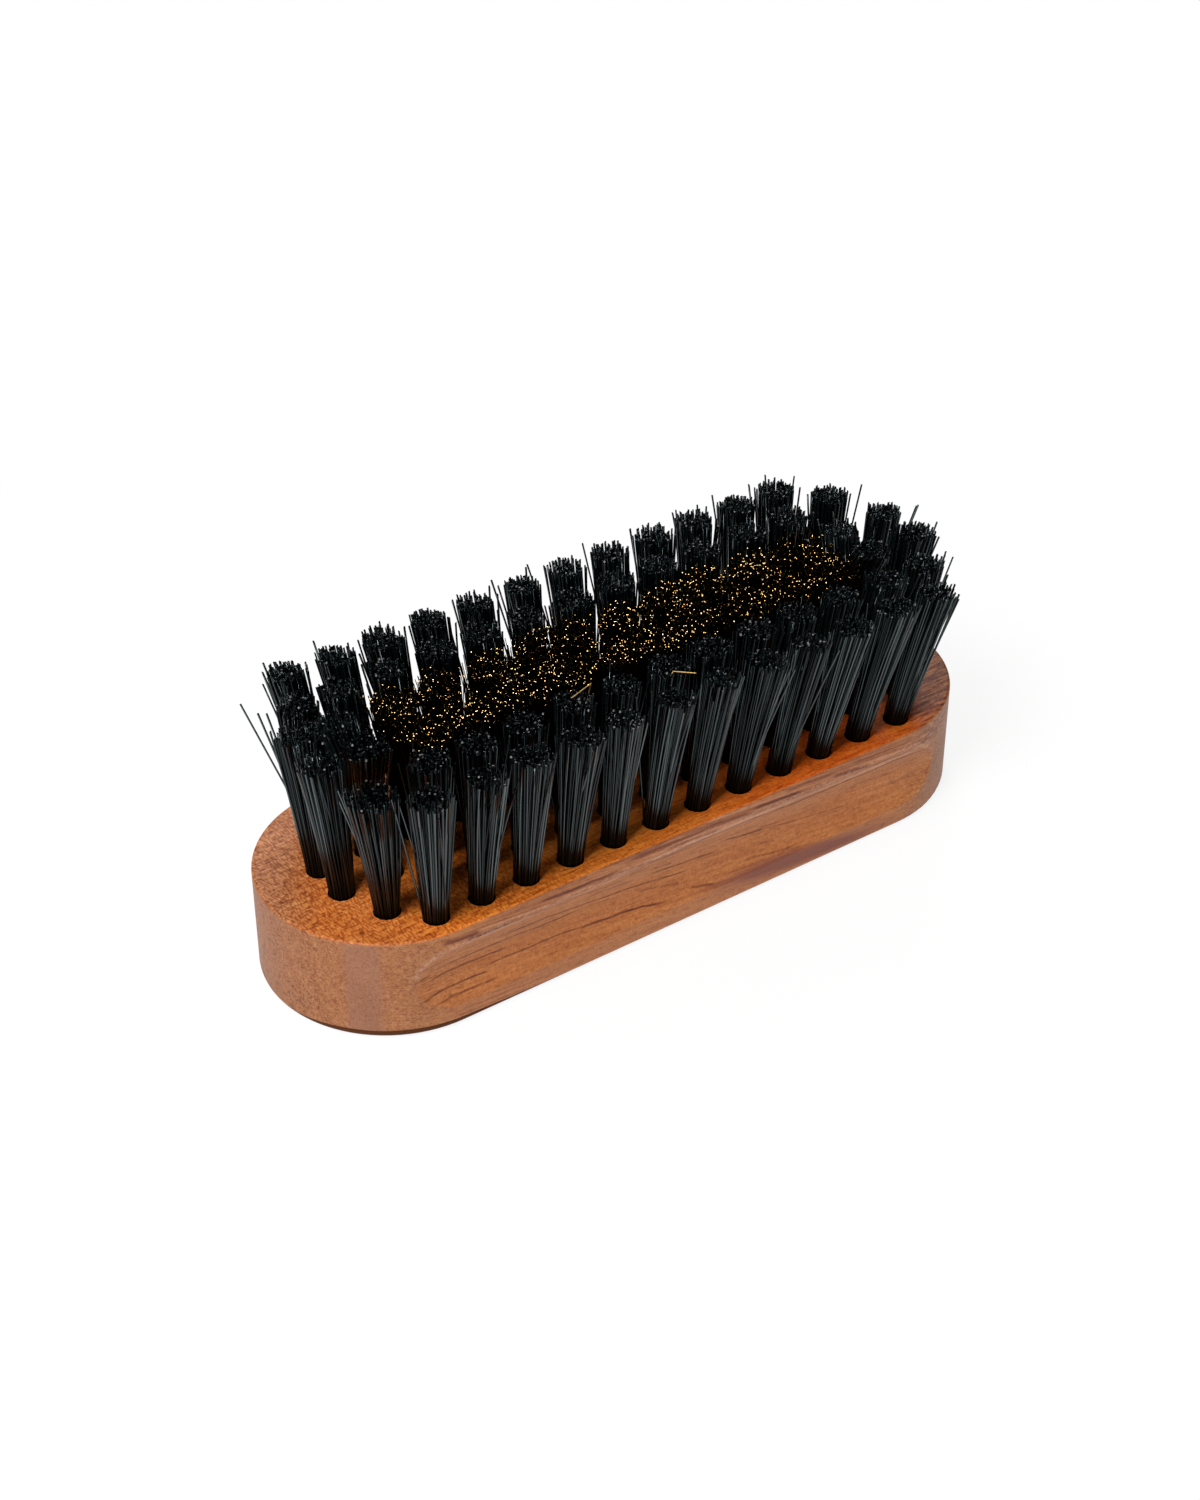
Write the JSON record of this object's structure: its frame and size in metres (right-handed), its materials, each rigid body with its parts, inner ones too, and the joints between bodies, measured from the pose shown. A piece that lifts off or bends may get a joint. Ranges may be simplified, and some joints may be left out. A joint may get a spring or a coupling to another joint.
{
  "type": "suede brush",
  "caption": "Hand brush for suede: a round-ended wooden block with finger grooves, nylon tufts in two rings round a brass wire core.",
  "frame": {"origin": "middle of the block's flat back, which the brush rests on", "axes": "+X along the block, +Y across it, +Z out of the bristles"},
  "size_m": [0.1104, 0.04, 0.0376],
  "materials": {
    "wood": "satin, reddish brown with fine pores",
    "nylon": "black filament with a slight sheen",
    "brass_wire": "bright drawn wire",
    "anchor_wire": "flat drawn wire"
  },
  "bodies": {
    "root": {"anchor_staples": "anchor_wire", "brass_tufts_back_row": "brass_wire", "brass_tufts_front_row": "brass_wire", "handle_block": "wood", "inner_tuft_back_01": "nylon", "inner_tuft_back_02": "nylon", "inner_tuft_back_03": "nylon", "inner_tuft_back_04": "nylon", "inner_tuft_back_05": "nylon", "inner_tuft_back_06": "nylon", "inner_tuft_back_07": "nylon", "inner_tuft_back_08": "nylon", "inner_tuft_back_09": "nylon", "inner_tuft_back_10": "nylon", "inner_tuft_back_11": "nylon", "inner_tuft_front_01": "nylon", "inner_tuft_front_02": "nylon", "inner_tuft_front_03": "nylon", "inner_tuft_front_04": "nylon", "inner_tuft_front_05": "nylon", "inner_tuft_front_06": "nylon", "inner_tuft_front_07": "nylon", "inner_tuft_front_08": "nylon", "inner_tuft_front_09": "nylon", "inner_tuft_front_10": "nylon", "inner_tuft_front_11": "nylon", "inner_tufts_left": "nylon", "inner_tufts_right": "nylon", "outer_tuft_back_01": "nylon", "outer_tuft_back_02": "nylon", "outer_tuft_back_03": "nylon", "outer_tuft_back_04": "nylon", "outer_tuft_back_05": "nylon", "outer_tuft_back_06": "nylon", "outer_tuft_back_07": "nylon", "outer_tuft_back_08": "nylon", "outer_tuft_back_09": "nylon", "outer_tuft_back_10": "nylon", "outer_tuft_back_11": "nylon", "outer_tuft_back_12": "nylon", "outer_tuft_front_01": "nylon", "outer_tuft_front_02": "nylon", "outer_tuft_front_03": "nylon", "outer_tuft_front_04": "nylon", "outer_tuft_front_05": "nylon", "outer_tuft_front_06": "nylon", "outer_tuft_front_07": "nylon", "outer_tuft_front_08": "nylon", "outer_tuft_front_09": "nylon", "outer_tuft_front_10": "nylon", "outer_tuft_front_11": "nylon", "outer_tuft_front_12": "nylon", "outer_tuft_left_1": "nylon", "outer_tuft_left_2": "nylon", "outer_tuft_left_3": "nylon", "outer_tuft_left_4": "nylon", "outer_tuft_right_1": "nylon", "outer_tuft_right_2": "nylon", "outer_tuft_right_3": "nylon", "outer_tuft_right_4": "nylon"}
  },
  "joints": []
}
